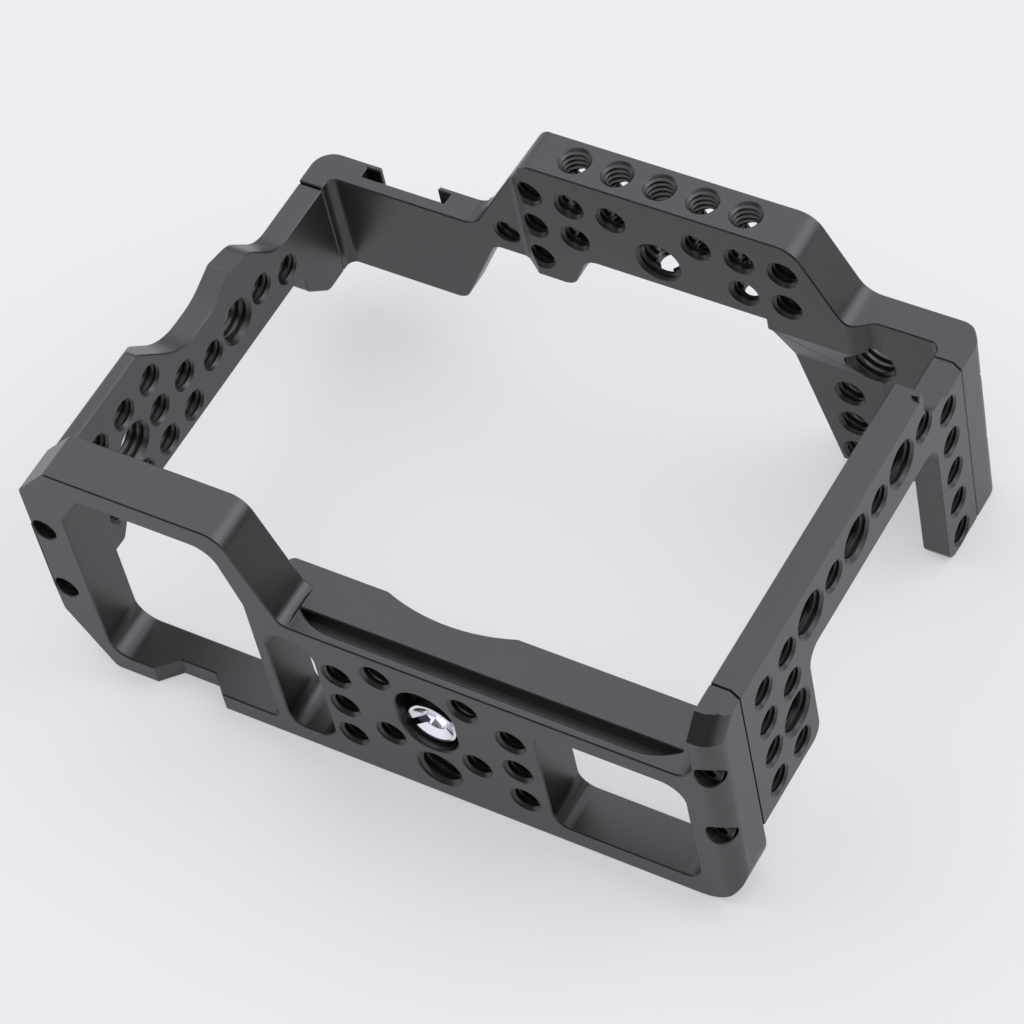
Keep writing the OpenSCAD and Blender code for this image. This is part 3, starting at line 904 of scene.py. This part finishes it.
@dataclass(frozen=True)
class Sky:
    """Soft light around the cage. A band holds the two values between which a part of it fades in."""

    colour: tuple[float, float, float, float] = (1.0, 0.985, 1.07, 1.0)
    level: float = 0.35
    overhead: float = 1.15
    overhead_band: tuple[float, float] = (0.05, 0.7)
    behind_loss: float = 0.91
    behind_band: tuple[float, float] = (0.2, 0.55)
    behind_low_band: tuple[float, float] = (0.15, 0.4)
    glow: float = 1.4
    glow_way: tuple[float, float, float] = (0.66, 0.47, 0.585)
    glow_band: tuple[float, float] = (0.90, 0.985)
    left: float = 0.9
    left_band: tuple[float, float] = (0.7, 0.93)
    left_low_band: tuple[float, float] = (0.6, 0.9)

    def build(self) -> None:
        """Light the studio from above, the far right and the left, with a dark side behind the camera."""
        world = bpy.data.worlds.new("studio")
        bpy.context.scene.world = world
        shader = ShaderBuilder(world)
        ray = shader.add("ShaderNodeTexCoord", {}, {}, "Generated")
        x, y, z = shader.split(ray)
        overhead = z.smooth(*self.overhead_band)
        behind = (y * -1.0).smooth(*self.behind_band) * (1.0 - z).smooth(*self.behind_low_band)
        toward = x * self.glow_way[0] + y * self.glow_way[1] + z * self.glow_way[2]
        left = (x * -1.0).smooth(*self.left_band) * (1.0 - z).smooth(*self.left_low_band)
        soft = (self.level + self.overhead * overhead) * (1.0 - self.behind_loss * behind)
        light = soft + self.glow * toward.smooth(*self.glow_band) + self.left * left
        surface = shader.add("ShaderNodeBackground", {}, {"Color": self.colour, "Strength": light})
        shader.end("ShaderNodeOutputWorld", surface)


@dataclass(frozen=True)
class Floor:
    """The pale floor, which glows a little so that it stays pale beside the dark cage."""

    half: float = 6.0
    cells: int = 8
    drop: float = 0.1 * MM
    shade: tuple[float, float, float, float] = (0.365, 0.372, 0.362, 1.0)
    roughness: float = 0.9
    glow: float = 0.41
    glow_seen: tuple[float, float, float, float] = (0.985, 1.0, 1.03, 1.0)
    glow_cast: tuple[float, float, float, float] = (0.985, 0.955, 1.05, 1.0)

    def build(self) -> None:
        """Lay the floor under the cage."""
        work = bmesh.new()
        bmesh.ops.create_grid(work, x_segments=self.cells, y_segments=self.cells, size=self.half)
        bmesh.ops.translate(work, vec=(0.0, 0.0, -self.drop), verts=work.verts[:])
        mesh = bpy.data.meshes.new("floor")
        work.to_mesh(mesh)
        work.free()
        floor = link_piece("floor", mesh)
        material = bpy.data.materials.new("pale_floor")
        shader = ShaderBuilder(material)
        seen = shader.add("ShaderNodeLightPath", {}, {}, "Is Camera Ray")
        inputs = {
            "Base Color": self.shade, "Roughness": self.roughness, "Specular IOR Level": 0.0,
            "Emission Color": shader.mix(seen, self.glow_cast, self.glow_seen),
            "Emission Strength": self.glow,
        }
        shader.end("ShaderNodeOutputMaterial", shader.add("ShaderNodeBsdfPrincipled", {}, inputs))
        mesh.materials.append(material)


@dataclass(frozen=True)
class Viewpoint:
    """The camera at the photograph's viewing angle: its place in millimetres and its own axes."""

    eye_mm: tuple[float, float, float] = (309.1, -326.9, 639.1)
    right: tuple[float, float, float] = (0.86203, 0.48383, -0.15103)
    up: tuple[float, float, float] = (-0.3067, 0.73516, 0.60454)
    back: tuple[float, float, float] = (0.40353, -0.47481, 0.78212)
    lens: float = 151.1
    sensor: float = 36.0
    nearest: float = 0.01
    farthest: float = 20.0

    def build(self) -> None:
        """Set the camera."""
        data = bpy.data.cameras.new("camera")
        data.lens, data.sensor_width = self.lens, self.sensor
        data.clip_start, data.clip_end = self.nearest, self.farthest
        camera = link_piece("camera", data)
        turn = Matrix((self.right, self.up, self.back)).transposed().to_4x4()
        camera.matrix_world = Matrix.Translation(Vector(self.eye_mm) * MM) @ turn
        bpy.context.scene.camera = camera


@dataclass(frozen=True)
class Cage:
    """The whole cage: its plates, its screws and their finishes."""

    milling: TopMilling = TopMilling()
    groove_side: float = 30.0 * MM
    shallow_cut_share: float = 0.2

    def build(self) -> list[bpy.types.Object]:
        """Make every piece that stands for a packed one, and give the other packed ones their finish.

        Returns:
            The new pieces.
        """
        # The dark plates carry a painted shadow along each seam between plates
        anodised, black, nickel = ANODISED.build(plate_seams()), BLACK_OXIDE.build(), NICKEL.build()
        chart = HoleChart(frame["record"])
        pieces = [self._plate(node, anodised, chart) for node in PLATES]
        end = self.milling.end()
        pieces += [CornerScrew(node, black, end).build() for node in FLUSH_SCREWS]
        self._finish_packed(black)
        pieces.append(CameraScrew(nickel).build())
        return pieces

    def _plate(self, node: str, finish: bpy.types.Material, chart: HoleChart) -> bpy.types.Object:
        """Make one plate.

        Args:
            node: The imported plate.
            finish: Its material.
            chart: The tapped holes of the whole cage.

        Returns:
            The finished plate.
        """
        holes = chart.of_box(*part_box(node))
        if node == "bottom_plate":
            # Holes close under the shelf's groove have a shallow thread, so the groove's floor stays whole
            shallow = self.shallow_cut_share
            holes = [replace(h, cut_share=shallow) if h.mouth.z > self.groove_side else h for h in holes]
        tools = [self.milling.crown(), self.milling.pocket()] if node == "top_plate" else []
        return Plate(node, finish, holes, tools).build()

    def _finish_packed(self, finish: bpy.types.Material) -> None:
        """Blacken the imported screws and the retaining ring, which stay as they are.

        Args:
            finish: Their material.
        """
        for name, node in frame["nodes"].items():
            if name not in FLUSH_SCREWS and (name.startswith("screw_") or name == "camera_screw_ring"):
                node.data.materials.clear()
                node.data.materials.append(finish)
                LOG.info("%s: packed piece, %s", name, finish.name)


def main() -> None:
    """Build the studio and the cage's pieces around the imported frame."""
    for part in (Viewpoint(), Floor(), Sky()):
        part.build()
    bpy.context.scene.view_settings.view_transform = "Standard"
    for piece in Cage().build():
        LOG.info("%s: %d faces", piece.name, len(piece.data.polygons))


if __name__ == "__main__":
    main()
